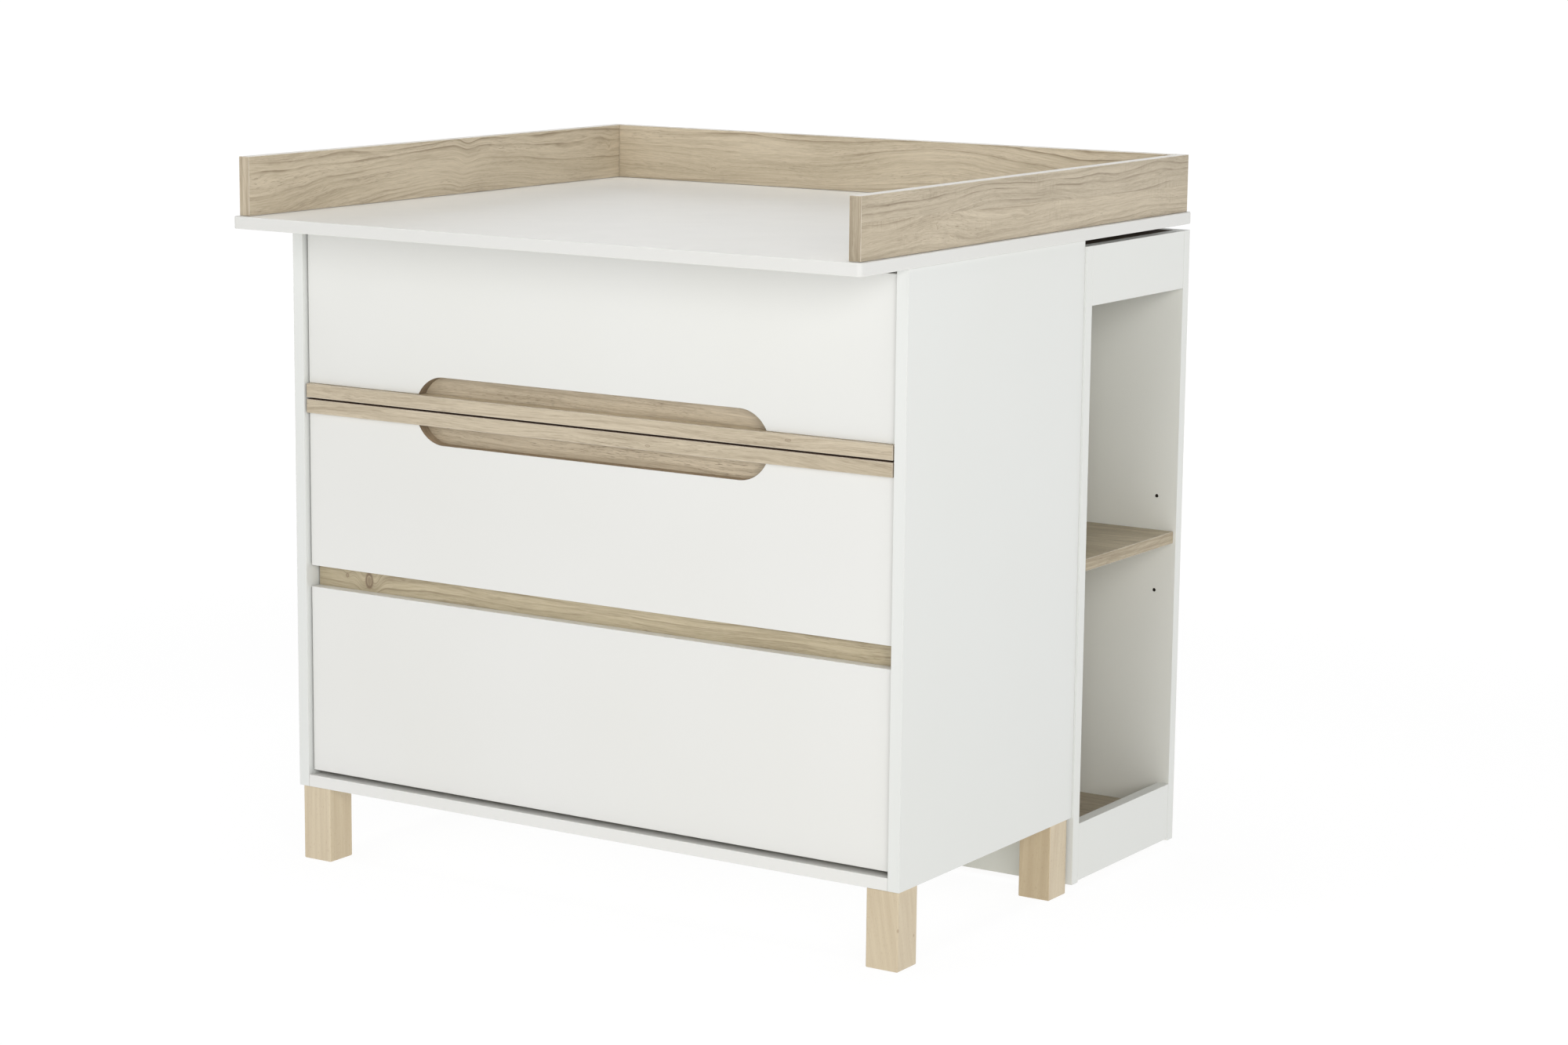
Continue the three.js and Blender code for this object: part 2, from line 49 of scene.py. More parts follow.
# ------------------------------------------------------------------ node tree shorthand
class Shader:
    """A material under construction. Its methods add nodes and return what they put out."""

    def __init__(self, name):
        self.material = bpy.data.materials.new(name)
        self.material.use_nodes = True
        self.tree = self.material.node_tree
        self.bsdf = self.tree.nodes["Principled BSDF"]
        self.place = self.add("ShaderNodeTexCoord").outputs["Object"]
        self.normal = self.add("ShaderNodeTexCoord").outputs["Normal"]

    def add(self, kind, **settings):
        node = self.tree.nodes.new(kind)
        for key, value in settings.items():
            setattr(node, key, value)
        return node

    def feed(self, socket, value):
        if isinstance(value, bpy.types.NodeSocket):
            self.tree.links.new(value, socket)
        elif isinstance(value, (tuple, list)) and len(value) == 3 and socket.type == "RGBA":
            socket.default_value = (*value, 1)
        else:
            socket.default_value = value

    def math(self, operation, *values, clamp=False):
        node = self.add("ShaderNodeMath", operation=operation, use_clamp=clamp)
        for socket, value in zip(node.inputs, values):
            self.feed(socket, value)
        return node.outputs[0]

    def plus(self, total, *others):
        for other in others:
            total = self.math("ADD", total, other)
        return total

    def minus(self, first, second):
        return self.math("SUBTRACT", first, second)

    def times(self, product, *others):
        for other in others:
            product = self.math("MULTIPLY", product, other)
        return product

    def bell(self, distance, steepness):
        """1 at no distance, falling off to both sides."""
        return self.math("EXPONENT", self.times(self.times(distance, distance), -steepness))

    def within(self, value, reach):
        return self.math("LESS_THAN", self.math("ABSOLUTE", value), reach)

    def vector(self, operation, *values):
        node = self.add("ShaderNodeVectorMath", operation=operation)
        for socket, value in zip(node.inputs, values):
            self.feed(socket, value)
        return node.outputs["Value" if operation == "LENGTH" else "Vector"]

    def split(self, vector):
        node = self.add("ShaderNodeSeparateXYZ")
        self.feed(node.inputs[0], vector)
        return node.outputs[0], node.outputs[1], node.outputs[2]

    def join(self, x, y, z):
        node = self.add("ShaderNodeCombineXYZ")
        for socket, value in zip(node.inputs, (x, y, z)):
            self.feed(socket, value)
        return node.outputs[0]

    def noise(self, vector, scale=1.0, detail=2.0, roughness=0.5):
        node = self.add("ShaderNodeTexNoise")
        for key, value in dict(Vector=vector, Scale=scale, Detail=detail, Roughness=roughness).items():
            self.feed(node.inputs[key], value)
        return node.outputs["Fac"]

    def ramp(self, value, low, high, to_low=0.0, to_high=1.0, smooth=True):
        """value from low..high to to_low..to_high, held beyond the ends."""
        kind = "SMOOTHSTEP" if smooth else "LINEAR"
        node = self.add("ShaderNodeMapRange", interpolation_type=kind)
        for socket, number in zip(node.inputs, (value, low, high, to_low, to_high)):
            self.feed(socket, number)
        return node.outputs[0]

    def blend(self, share, first, second, mode="MIX"):
        node = self.add("ShaderNodeMix", data_type="RGBA", blend_type=mode)
        self.feed(node.inputs["Factor"], share)
        colours = [s for s in node.inputs if s.type == "RGBA"]
        self.feed(colours[0], first)
        self.feed(colours[1], second)
        return next(s for s in node.outputs if s.type == "RGBA")

    def toned(self, where, colour, tone):
        """The colour times a tone where where is 1; the tone is a number or one per channel."""
        tone = tone if isinstance(tone, (tuple, list)) else (tone, tone, tone)
        return self.blend(where, colour, self.blend(1.0, colour, tone, "MULTIPLY"))

    def faces(self, axis, threshold=FACING):
        """1 on faces that look along the given axis, either way."""
        looks = self.math("ABSOLUTE", self.split(self.normal)[axis])
        return self.math("GREATER_THAN", looks, threshold)

    def faces_towards(self, axis, way=1):
        """1 on faces that look along the given axis, up it for way 1 and down it for -1."""
        looks = self.times(self.split(self.normal)[axis], float(way))
        return self.math("GREATER_THAN", looks, FACING)

    def finish(self, colour, roughness, height, depth, strength=1.0, **fixed):
        """Colour, roughness and bump; depth is the bump's height in metres."""
        self.feed(self.bsdf.inputs["Base Color"], colour)
        self.feed(self.bsdf.inputs["Roughness"], roughness)
        for key, value in fixed.items():
            self.bsdf.inputs[key.replace("_", " ")].default_value = value
        bump = self.add("ShaderNodeBump")
        self.feed(bump.inputs["Height"], height)
        bump.inputs["Strength"].default_value = strength
        bump.inputs["Distance"].default_value = depth
        self.tree.links.new(bump.outputs[0], self.bsdf.inputs["Normal"])
        return self.material


def shades(colour, factor):
    return [channel * factor for channel in colour]


# ------------------------------------------------------------------ white boards
WHITE, WHITE_WARM = (0.733, 0.731, 0.706), (0.724, 0.721, 0.690)
PEARL = (0.60, 0.59, 0.56)
EDGE_BANDING, EDGE_BANDING_RUBBED = (0.685, 0.682, 0.655), (0.640, 0.632, 0.600)
# painted light: a brighter edge that looks up, on the bottom drawer's front
TOP_EDGE_PAINTED_LIGHT = ((0.880, 0.878, 0.850), (0.860, 0.856, 0.825))
# unfaced chipboard, darkened as painted shade for the slot under the changing board
CHIPBOARD_PAINTED_SHADE = ((0.085, 0.062, 0.042), (0.150, 0.112, 0.075))
SAWN_EDGE = (0.300, 0.232, 0.160)
# raw chipboard in the pin holes, darkened to near-black as painted shade
PIN_HOLE_PAINTED_SHADE = (0.060, 0.045, 0.032)
# painted shade: two greys for the unit's face towards the chest, which the chest shades
UNDER_CHEST_PAINTED_SHADE = ((0.520, 0.520, 0.465), (0.490, 0.488, 0.430))

UNIT_TINT = (0.962, 0.978, 0.974)
# painted light: the chest sides cooler and darker, as the light falls on them
CHEST_SIDE_PAINTED_COOL_LIGHT = (0.967, 0.985, 0.990)
# painted shade: the top drawer's front a shade darker than the other fronts, under the board
TOP_FRONT_PAINTED_SHADE = (0.975, 0.978, 0.978)
# painted light: the faces towards the shelf unit's niche warmer, for the light bounced inside it
NICHE_PAINTED_WARM_LIGHT = (1.035, 1.018, 0.982)
LYING_BOARD_EDGE = 0.925      # tone of the changing board's edges against its top

GLOSS, GLOSS_TOP = 0.30, 0.285          # roughness at the smoothest, of a board and of the top
HAZE = 0.10                             # what handling adds to it

RECESS_CUT = (0.618, 0.268, 0.0442)     # finger recess: centre height, half length, half height
PIN_ROWS_HALF_WIDTH, PIN_ROWS_MIDDLE, PIN_ROWS_REACH = 0.450, 0.417, 0.10


def sawn_recess(s, colour, rough, cut):
    """The sawn edge of a finger recess, oiled brown, with painted light where it looks up."""
    x, _, z = s.split(s.place)
    middle, half_length, half_height = cut
    here = s.times(s.within(x, half_length), s.within(s.minus(z, middle), half_height))
    edge = s.times(s.minus(1.0, s.faces(Y, 0.5)), here)
    fibre = s.noise(s.vector("MULTIPLY", s.place, (60.0, 900.0, 60.0)), 1.0, 3.0, 0.6)
    # painted light where the sawn edge looks up
    painted_light_up = s.ramp(s.split(s.normal)[Z], 0.3, 0.9)
    sawn = s.blend(painted_light_up, SAWN_EDGE, shades(SAWN_EDGE, 1.5))
    wood = s.toned(s.ramp(fibre, 0.35, 0.68), sawn, 0.62)
    return s.blend(edge, colour, wood), s.math("MAXIMUM", rough, s.times(edge, 0.6))


def niche_panel(s, colour, haze, inside, wall, painted_shade_under_chest):
    """The faces of a panel of the shelf unit. Towards the niche the decor has painted warm light,
    and behind that face the pin holes are raw chipboard, near-black as painted shade."""
    x, y, z = s.split(s.place)
    looks = s.times(s.split(s.normal)[Y], float(inside))
    # painted warm light on the faces towards the niche
    colour = s.toned(s.math("GREATER_THAN", looks, FACING), colour, NICHE_PAINTED_WARM_LIGHT)
    # painted shade: near-black where the pin holes run into the panel
    behind = s.times(s.minus(y, wall), float(-inside))
    bored = s.times(s.math("GREATER_THAN", behind, 0.001), s.math("GREATER_THAN", looks, -0.5),
                    s.within(x, PIN_ROWS_HALF_WIDTH),
                    s.within(s.minus(z, PIN_ROWS_MIDDLE), PIN_ROWS_REACH))
    colour = s.blend(bored, colour, PIN_HOLE_PAINTED_SHADE)
    # painted shade: grey on the face towards the chest, where the chest shades it
    if painted_shade_under_chest:
        hidden = s.times(s.within(x, PIN_ROWS_HALF_WIDTH), s.math("LESS_THAN", looks, -FACING))
        colour = s.blend(hidden, colour, s.blend(s.ramp(haze, 0.3, 0.7), *UNDER_CHEST_PAINTED_SHADE))
    return colour


# unfaced chipboard on the faces that look up, darkened as painted shade
def raw_top_in_painted_shade(s, colour, rough):
    up = s.faces_towards(Z)
    chip = s.ramp(s.noise(s.place, 380.0, 3.0, 0.7), 0.35, 0.7)
    return s.blend(up, colour, s.blend(chip, *CHIPBOARD_PAINTED_SHADE)), s.math("MAXIMUM", rough, s.times(up, 0.85))


def white_decor(name, tint=(1.0, 1.0, 1.0), gloss=GLOSS, cut=None, edge_up=None, banded=False,
                inside=0, wall=0.0, painted_shade_under_chest=False):
    """Melamine-faced chipboard: near-white, satin, with a very fine pearl and handling haze.
    cut is the finger recess that runs through the board. edge_up is "raw" for a board whose
    upper side is unfaced chipboard, darkened there as painted shade, or "bright" for painted
    light on the edge that looks up. banded gives the upright edges of a lying board their greyer
    banding. inside is the way along Y that a face in the shelf unit's niche looks, and wall is
    where it stands; the last argument puts painted grey shade on the hidden face that looks the
    other way, where the chest shades it."""
    s = Shader(name)
    cloud = s.noise(s.place, 3.0, 2.0)
    pearl = s.noise(s.place, 900.0, 1.0, 0.5)
    plain, warmer = ([c * t for c, t in zip(shade, tint)] for shade in (WHITE, WHITE_WARM))
    colour = s.blend(s.ramp(cloud, 0.3, 0.7), plain, warmer)
    colour = s.blend(s.ramp(pearl, 0.2, 0.8, 0.0, 0.05, smooth=False), colour, PEARL)
    haze = s.noise(s.place, 14.0, 3.0, 0.6)
    rough = s.ramp(haze, 0.2, 0.8, gloss, gloss + HAZE, smooth=False)
    if banded:
        lying = s.faces(Z, 0.5)
        colour = s.toned(s.minus(1.0, lying), colour, LYING_BOARD_EDGE)
    if cut is not None:
        colour, rough = sawn_recess(s, colour, rough, cut)
    if inside:
        colour = niche_panel(s, colour, haze, inside, wall, painted_shade_under_chest)
    # painted light on the edge that looks up
    if edge_up == "bright":
        banding = s.blend(s.ramp(cloud, 0.3, 0.7), *TOP_EDGE_PAINTED_LIGHT)
        colour = s.blend(s.faces_towards(Z), colour, banding)
    if edge_up == "raw":
        colour, rough = raw_top_in_painted_shade(s, colour, rough)
    return s.finish(colour, rough, s.noise(s.place, 26.0, 1.0), depth=0.00008, strength=0.5)


def white_banding(name):
    """Edge banding on the white boards: greyer than the decor, faintly rubbed at the arris."""
    s = Shader(name)
    wear = s.ramp(s.noise(s.place, 38.0, 4.0, 0.7), 0.52, 0.8)
    colour = s.blend(s.times(wear, 0.22), EDGE_BANDING, EDGE_BANDING_RUBBED)
    rough = s.ramp(wear, 0.0, 1.0, 0.29, 0.38)
    return s.finish(colour, rough, s.noise(s.place, 40.0, 1.0), depth=0.00003, strength=0.3)


# ------------------------------------------------------------------ oak decor
OAK_LIGHT = (0.578, 0.497, 0.370)
OAK_DEEP = (0.455, 0.385, 0.275)
OAK_LINE = (0.270, 0.210, 0.135)
OAK_PORE = (0.200, 0.150, 0.098)
OAK_KNOT = (0.205, 0.140, 0.085)
OAK_ARRIS, OAK_ARRIS_WORN = (0.56, 0.50, 0.41), (0.45, 0.38, 0.29)
PALE_BAND = (0.690, 0.675, 0.630)
# painted shade in the gaps between the grip bars and between the sub-fronts
GAP_PAINTED_SHADE = (0.190, 0.125, 0.085)

RINGS_PER_M = 128.0
STAVE_SHIFT = 1.7             # along the grain, so that the far stave has a figure of its own
GLUE_LINE_SLOPE = 0.012
KNOT_RING_PULL = 1.3          # how far the rings swerve round a knot, in its radii


def oak_knot(s, along, side, bend, knot):
    """How far a knot pushes the rings aside at each point, and how dark it is there."""
    at_along, at_side, radius, stretch, darkness = knot
    x = s.math("DIVIDE", s.minus(along, at_along), radius * stretch)
    y = s.math("DIVIDE", s.minus(side, at_side), radius)
    far = s.plus(s.math("SQRT", s.plus(s.times(x, x), s.times(y, y))), s.times(bend, 22.0))
    swerve = s.times(s.bell(far, 0.16), far, radius * KNOT_RING_PULL)
    rim = s.times(s.ramp(far, 0.55, 0.95), s.ramp(far, 0.95, 1.5, 1.0, 0.0), darkness)
    heart = s.times(s.ramp(far, 0.2, 1.1, 0.62, 0.0), darkness)
    return swerve, s.math("MAXIMUM", heart, rim)


def oak_figure(s, along, side, seed, figure, waves, knots, dips):
    """How far each point lies across the growth rings, and how strongly it is in a knot. The
    rings run along the grain, bow into cathedral arches, sag at the dips, which are (along,
    width, depth), and close round the knots, which are (along, across plus through, radius,
    stretch, darkness). Both are placed from the board's centre."""

    def field(per_m_along, per_m_across, detail):
        vector = s.join(s.times(along, per_m_along), s.times(side, per_m_across), seed)
        return s.minus(s.noise(vector, 1.0, detail, 0.5), 0.5)

    arch = s.times(field(2.3, 9.0, 1.0), 0.105 * figure)
    bend = s.times(field(9.0, 30.0, 1.0), 0.016 * waves)
    jitter = s.times(field(60.0, 260.0, 2.0), 0.0009)
    reach = s.plus(s.plus(side, arch), s.plus(bend, jitter))
    for at_along, width, depth in dips:
        lean = s.minus(s.times(side, 0.35), s.times(bend, 2.5))
        off = s.math("DIVIDE", s.minus(s.minus(along, at_along), lean), width)
        reach = s.plus(reach, s.times(s.bell(off, 1.0), depth))
    dark = None
    for knot in knots:
        swerve, spot = oak_knot(s, along, side, bend, knot)
        reach = s.plus(reach, swerve)
        dark = spot if dark is None else s.math("MAXIMUM", dark, spot)
    return reach, dark


def late_wood(s, reach, patches):
    """Where in a growth ring each point lies: the early wood's share, and the late wood's dark
    line at the ring's end, which is stronger in some rings and breaks up in the patches."""
    phase = s.times(reach, RINGS_PER_M)
    ring = s.math("FRACT", phase)
    which = s.add("ShaderNodeTexWhiteNoise", noise_dimensions="1D")
    s.feed(which.inputs["W"], s.math("FLOOR", phase))
    late = s.times(s.math("POWER", ring, 5.0), s.ramp(ring, 0.88, 1.0, 1.0, 0.0),
                   s.ramp(which.outputs["Value"], 0.1, 0.95, 0.15, 1.0),
                   s.ramp(patches, 0.36, 0.62, 0.15, 1.0))
    return s.ramp(ring, 0.0, 0.75), late


def comb_marks(s, along, side, seed):
    """Patches of short marks across the grain."""
    teeth = s.noise(s.join(s.times(along, 430.0), s.times(side, 46.0), seed), 1.0, 2.0)
    patch = s.noise(s.join(s.times(along, 8.0), s.times(side, 24.0), seed + 5), 1.0, 2.0)
    return s.times(s.ramp(teeth, 0.5, 0.68), s.ramp(patch, 0.5, 0.66))


def oak_edges(s, colour, rough, fibre, light, top_tone, pale_top, gap_shade_face):
    """The edges that look up or down: in a tone of their own, which on the top grip bar is painted
    light, banded in off-white, or darkened as painted shade where pieces meet across a gap."""
    # on the top grip bar this tone is painted light on its upper face
    if top_tone != 1.0:
        colour = s.toned(s.faces_towards(Z), colour, top_tone)
    if pale_top:
        top = s.faces_towards(Z)
        band = s.blend(s.ramp(fibre, 0.4, 0.7, 0.0, 0.3), PALE_BAND, light)
        colour = s.blend(top, colour, band)
        rough = s.minus(rough, s.times(top, 0.14))
    # painted shade where the grip bars and sub-fronts meet across a gap
    if gap_shade_face:
        raw = s.faces_towards(Z, gap_shade_face)
        gap_shade = s.blend(s.ramp(fibre, 0.35, 0.7), GAP_PAINTED_SHADE, shades(GAP_PAINTED_SHADE, 1.8))
        colour = s.blend(raw, colour, gap_shade)
        rough = s.math("MAXIMUM", rough, s.times(raw, 0.9))
    return colour, rough


def oak_decor(name, centre, grain, across, seed, tone=1.0, figure=1.0, waves=1.0, lines=1.0,
              streaky=1.0, pores=1.0, warmth=0.0, combing=0.0, stave=None, knots=(), dips=(),
              end_tone=1.0, top_tone=1.0, pale_top=False, gap_shade_face=0):
    """Greyed light oak print. grain and across are the axes along and across the grain on the
    broad face. stave is (where the glue line runs across, tone of the far stave). end_tone and
    top_tone are the tones of the banding on the ends and on the edge that looks up; on the top
    drawer's grip bar top_tone is painted light. pale_top bands that edge in off-white. The last
    argument is 1 or -1 for a piece whose edge that looks up or down is darkened as painted shade,
    where it meets the next piece across a gap."""
    s = Shader(name)
    thick = 3 - grain - across
    parts = s.split(s.vector("SUBTRACT", s.place, tuple(centre)))
    end = s.faces(grain)
    broad = s.minus(1.0, end)
    along = s.plus(s.times(parts[grain], broad), s.times(parts[across], end))
    side = s.plus(s.times(parts[across], broad), parts[thick])
    if stave is not None:
        glue_line, stave_tone = stave
        offset = s.plus(side, s.times(along, GLUE_LINE_SLOPE))
        far_stave = s.math("GREATER_THAN", offset, glue_line)
        along = s.plus(along, s.times(far_stave, STAVE_SHIFT))
    reach, dark = oak_figure(s, along, side, seed, figure, waves, knots, dips)

    def streaks(per_m_along, per_m_across, detail=2.0, roughness=0.5):
        vector = s.join(s.times(along, per_m_along), s.times(reach, per_m_across), seed)
        return s.noise(vector, 1.0, detail, roughness)

    early, late = late_wood(s, reach, streaks(9.0, 70.0, 3.0, 0.6))
    cloud = streaks(3.0, 26.0, 3.0, 0.6)
    band = streaks(5.0, 170.0, 3.0, 0.65)
    fibre = streaks(26.0, 620.0, 3.0, 0.7)
    hair = streaks(60.0, 1500.0, 2.0, 0.6)
    spread = s.ramp(streaks(6.0, 60.0, 2.0), 0.40, 0.66, 0.15, 1.0)
    pore = s.times(s.ramp(streaks(85.0, 1700.0, 1.0), 0.60, 0.68), spread)

    hue = (tone, tone, tone * (1 - warmth))
    light, deep, line = ([c * h for c, h in zip(shade, hue)]
                         for shade in (OAK_LIGHT, OAK_DEEP, OAK_LINE))
    colour = s.blend(s.ramp(cloud, 0.34, 0.66, 0.0, 0.8), light, deep)
    colour = s.blend(s.ramp(early, 0.0, 1.0, 0.0, 0.16 * lines), colour, deep)
    colour = s.blend(s.ramp(band, 0.45, 0.70, 0.0, 0.50 * streaky), colour, line)
    colour = s.blend(s.ramp(fibre, 0.45, 0.72, 0.0, 0.44 * streaky), colour, line)
    colour = s.blend(s.ramp(hair, 0.42, 0.70, 0.0, 0.30), colour, shades(OAK_LIGHT, tone * 1.22))
    colour = s.blend(s.math("MULTIPLY", late, 1.7 * lines, clamp=True), colour, line)
    colour = s.blend(s.times(pore, 0.50 * pores), colour, shades(OAK_PORE, tone))
    if combing:
        colour = s.blend(s.times(comb_marks(s, along, side, seed), combing), colour, line)
    if stave is not None:
        colour = s.toned(far_stave, colour, stave_tone)
    if dark is not None:
        colour = s.blend(dark, colour, OAK_KNOT)
    end_lines = s.join(s.times(parts[across], 7.0), s.times(parts[thick], 420.0), seed)
    end_lines = s.ramp(s.noise(end_lines, 1.0, 3.0, 0.6), 0.38, 0.66, 0.08, 0.62)
    colour = s.blend(s.times(end, end_lines), colour, line)
    if end_tone != 1.0:
        colour = s.toned(end, colour, end_tone)
    rough = s.ramp(pore, 0.0, 1.0, 0.48, 0.64)
    colour, rough = oak_edges(s, colour, rough, fibre, light, top_tone, pale_top, gap_shade_face)
    sunk = s.plus(s.times(pore, 0.7), s.times(late, 0.3))
    return s.finish(colour, rough, s.minus(s.times(fibre, 0.5), sunk), depth=0.00022, strength=0.6)


def oak_arris(name):
    """The thin line where the decor meets its edge banding, paler than either."""
    s = Shader(name)
    wear = s.noise(s.place, 90.0, 3.0, 0.6)
    colour = s.blend(s.ramp(wear, 0.4, 0.75), OAK_ARRIS, OAK_ARRIS_WORN)
    return s.finish(colour, s.ramp(wear, 0.2, 0.8, 0.42, 0.6), wear, depth=0.0001)


# ------------------------------------------------------------------ other materials
BEECH, BEECH_BAND, BEECH_FINE = (0.628, 0.538, 0.388), (0.572, 0.478, 0.338), (0.520, 0.415, 0.275)
BEECH_FLECK, BEECH_KNOT, BEECH_END = (0.360, 0.235, 0.130), (0.30, 0.20, 0.12), (0.42, 0.31, 0.19)
HARDBOARD = ((0.245, 0.150, 0.085), (0.350, 0.225, 0.130), (0.210, 0.128, 0.075))
LACQUER = ((0.770, 0.765, 0.745), (0.745, 0.738, 0.712))
EPOXY, EPOXY_RUBBED = (0.735, 0.735, 0.725), (0.500, 0.500, 0.490)
ZINC_PLATE, CAST_ZINC = (0.66, 0.67, 0.69), (0.50, 0.50, 0.51)
NYLON = (0.70, 0.70, 0.67)


def beech(name, centre, seed, slant, knots, painted_face_shade):
    """Clear-lacquered beech, grain upright: pale, with short dark flecks and soft bands.
    The last argument gives the factors for the face towards the drawer fronts and for the one
    towards +X: painted shade where the chest shades the legs, warmer where it is darker."""
    s = Shader(name)
    local = s.vector("SUBTRACT", s.place, tuple(centre))
    x, y, z = s.split(local)
    space = s.join(z, s.plus(s.plus(x, s.times(y, 0.8)), s.times(z, slant)), seed)

    def stretched(per_m_along, per_m_across, detail, roughness=0.5):
        scaled = s.vector("MULTIPLY", space, (per_m_along, per_m_across, 1.0))
        return s.noise(scaled, 1.0, detail, roughness)

    band = s.ramp(stretched(5.0, 110.0, 2.0), 0.34, 0.68)
    fine = stretched(18.0, 900.0, 3.0, 0.6)
    fleck = s.ramp(stretched(190.0, 1300.0, 1.0), 0.64, 0.74)
    colour = s.blend(band, BEECH, BEECH_BAND)
    colour = s.blend(s.ramp(fine, 0.4, 0.7, 0.0, 0.30), colour, BEECH_FINE)
    colour = s.blend(s.times(fleck, 0.42), colour, BEECH_FLECK)
    for at_x, at_y, at_z, radius in knots:
        apart = s.vector("MULTIPLY", s.vector("SUBTRACT", local, (at_x, at_y, at_z)), (1.0, 1.0, 0.7))
        far = s.math("DIVIDE", s.vector("LENGTH", apart), radius)
        colour = s.blend(s.ramp(far, 0.3, 1.2, 0.55, 0.0), colour, BEECH_KNOT)
    colour = s.blend(s.times(s.faces(Z), 0.35), colour, BEECH_END)
    # painted shade: two faces of each leg darkened, warmer where darker, where the chest shades them
    for towards, tone in zip((s.faces_towards(Y, -1), s.faces_towards(X)), painted_face_shade):
        warm_painted_shade = (tone, tone ** 1.2, tone ** 1.6)
        colour = s.toned(towards, colour, warm_painted_shade)
    height = s.minus(fine, s.times(fleck, 0.5))
    rough = s.ramp(fine, 0.3, 0.7, 0.36, 0.5)
    return s.finish(colour, rough, height, depth=0.00015, strength=0.6, Coat_Weight=0.12)


def hardboard(name):
    """Hardboard, lacquered white on the faces seen from inside, raw brown fibre on the others."""
    s = Shader(name)
    up = s.math("GREATER_THAN", s.split(s.normal)[Z], 0.5)
    front = s.math("LESS_THAN", s.split(s.normal)[Y], -0.5)
    white = s.math("MAXIMUM", up, front)
    fibre = s.noise(s.place, 700.0, 4.0, 0.7)
    cloud = s.noise(s.place, 9.0, 3.0)
    raw, raw_light, raw_dark = HARDBOARD
    raw = s.blend(s.ramp(fibre, 0.35, 0.68), raw, raw_light)
    raw = s.blend(s.ramp(cloud, 0.3, 0.7, 0.0, 0.4), raw, raw_dark)
    colour = s.blend(white, raw, s.blend(s.ramp(cloud, 0.3, 0.7), *LACQUER))
    rough = s.ramp(white, 0.0, 1.0, 0.85, 0.48)
    return s.finish(colour, rough, fibre, depth=0.00025, strength=0.5)


def coated_steel(name):
    """White epoxy powder coat: fine orange peel, faint rub marks along the travel."""
    s = Shader(name)
    peel = s.noise(s.place, 1100.0, 2.0, 0.5)
    rub = s.noise(s.vector("MULTIPLY", s.place, (60.0, 5.0, 900.0)), 1.0, 2.0, 0.6)
    colour = s.blend(s.times(s.ramp(rub, 0.6, 0.76), 0.45), EPOXY, EPOXY_RUBBED)
    return s.finish(colour, s.ramp(peel, 0.3, 0.7, 0.32, 0.46), peel, depth=0.00012)


def plated_steel(name, tint=ZINC_PLATE):
    """Zinc: mottled, with turned marks and duller patches."""
    s = Shader(name)
    mottle = s.noise(s.place, 260.0, 3.0, 0.6)
    turned_marks = s.noise(s.vector("MULTIPLY", s.place, (900.0, 2600.0, 900.0)), 1.0, 2.0)
    colour = s.blend(s.ramp(mottle, 0.35, 0.68), tint, shades(tint, 0.78))
    rough = s.ramp(s.plus(mottle, s.times(turned_marks, 0.5)), 0.5, 1.0, 0.22, 0.46)
    return s.finish(colour, rough, turned_marks, depth=0.00006, Metallic=1.0)


def nylon(name):
    """Moulded polyamide: milky, matt, slightly darker where it has rolled."""
    s = Shader(name)
    mottle = s.noise(s.place, 320.0, 3.0, 0.6)
    colour = s.blend(s.ramp(mottle, 0.4, 0.72, 0.0, 0.6), NYLON, shades(NYLON, 0.8))
    return s.finish(colour, s.ramp(mottle, 0.3, 0.7, 0.45, 0.6), mottle, depth=0.00008)


# ------------------------------------------------------------------ dressing the CAD nodes
# eased edges: the bevel's width and its number of segments
CRISP, THIN, BANDED, OAK_EDGE, SOFT = (0.0002, 2), (0.0003, 2), (0.0004, 2), (0.0006, 2), (0.0007, 3)
TOP_EDGE, LEG_EDGE = (0.0014, 4), (0.0016, 3)


def dress(node, material, arris, edge):
    """Gives a CAD node its material and eases its edges; arris is the eased edge's material."""
    obj = NODES[node]
    obj.data.materials.clear()
    obj.data.materials.append(material)
    weld = obj.modifiers.new("weld", "WELD")
    weld.merge_threshold = 0.00001
    flat = obj.modifiers.new("whole_faces", "DECIMATE")
    flat.decimate_type = "DISSOLVE"
    flat.angle_limit = math.radians(0.5)
    bevel = obj.modifiers.new("eased_edges", "BEVEL")
    bevel.width, bevel.segments = edge
    bevel.limit_method = "ANGLE"
    bevel.angle_limit = math.radians(40)
    bevel.use_clamp_overlap = True
    if arris is not None:
        obj.data.materials.append(arris)
        bevel.material = 1
    shade = obj.modifiers.new("even_normals", "WEIGHTED_NORMAL")
    shade.keep_sharp = False


def centre_of(node):
    low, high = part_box(node)
    return (low + high) / 2


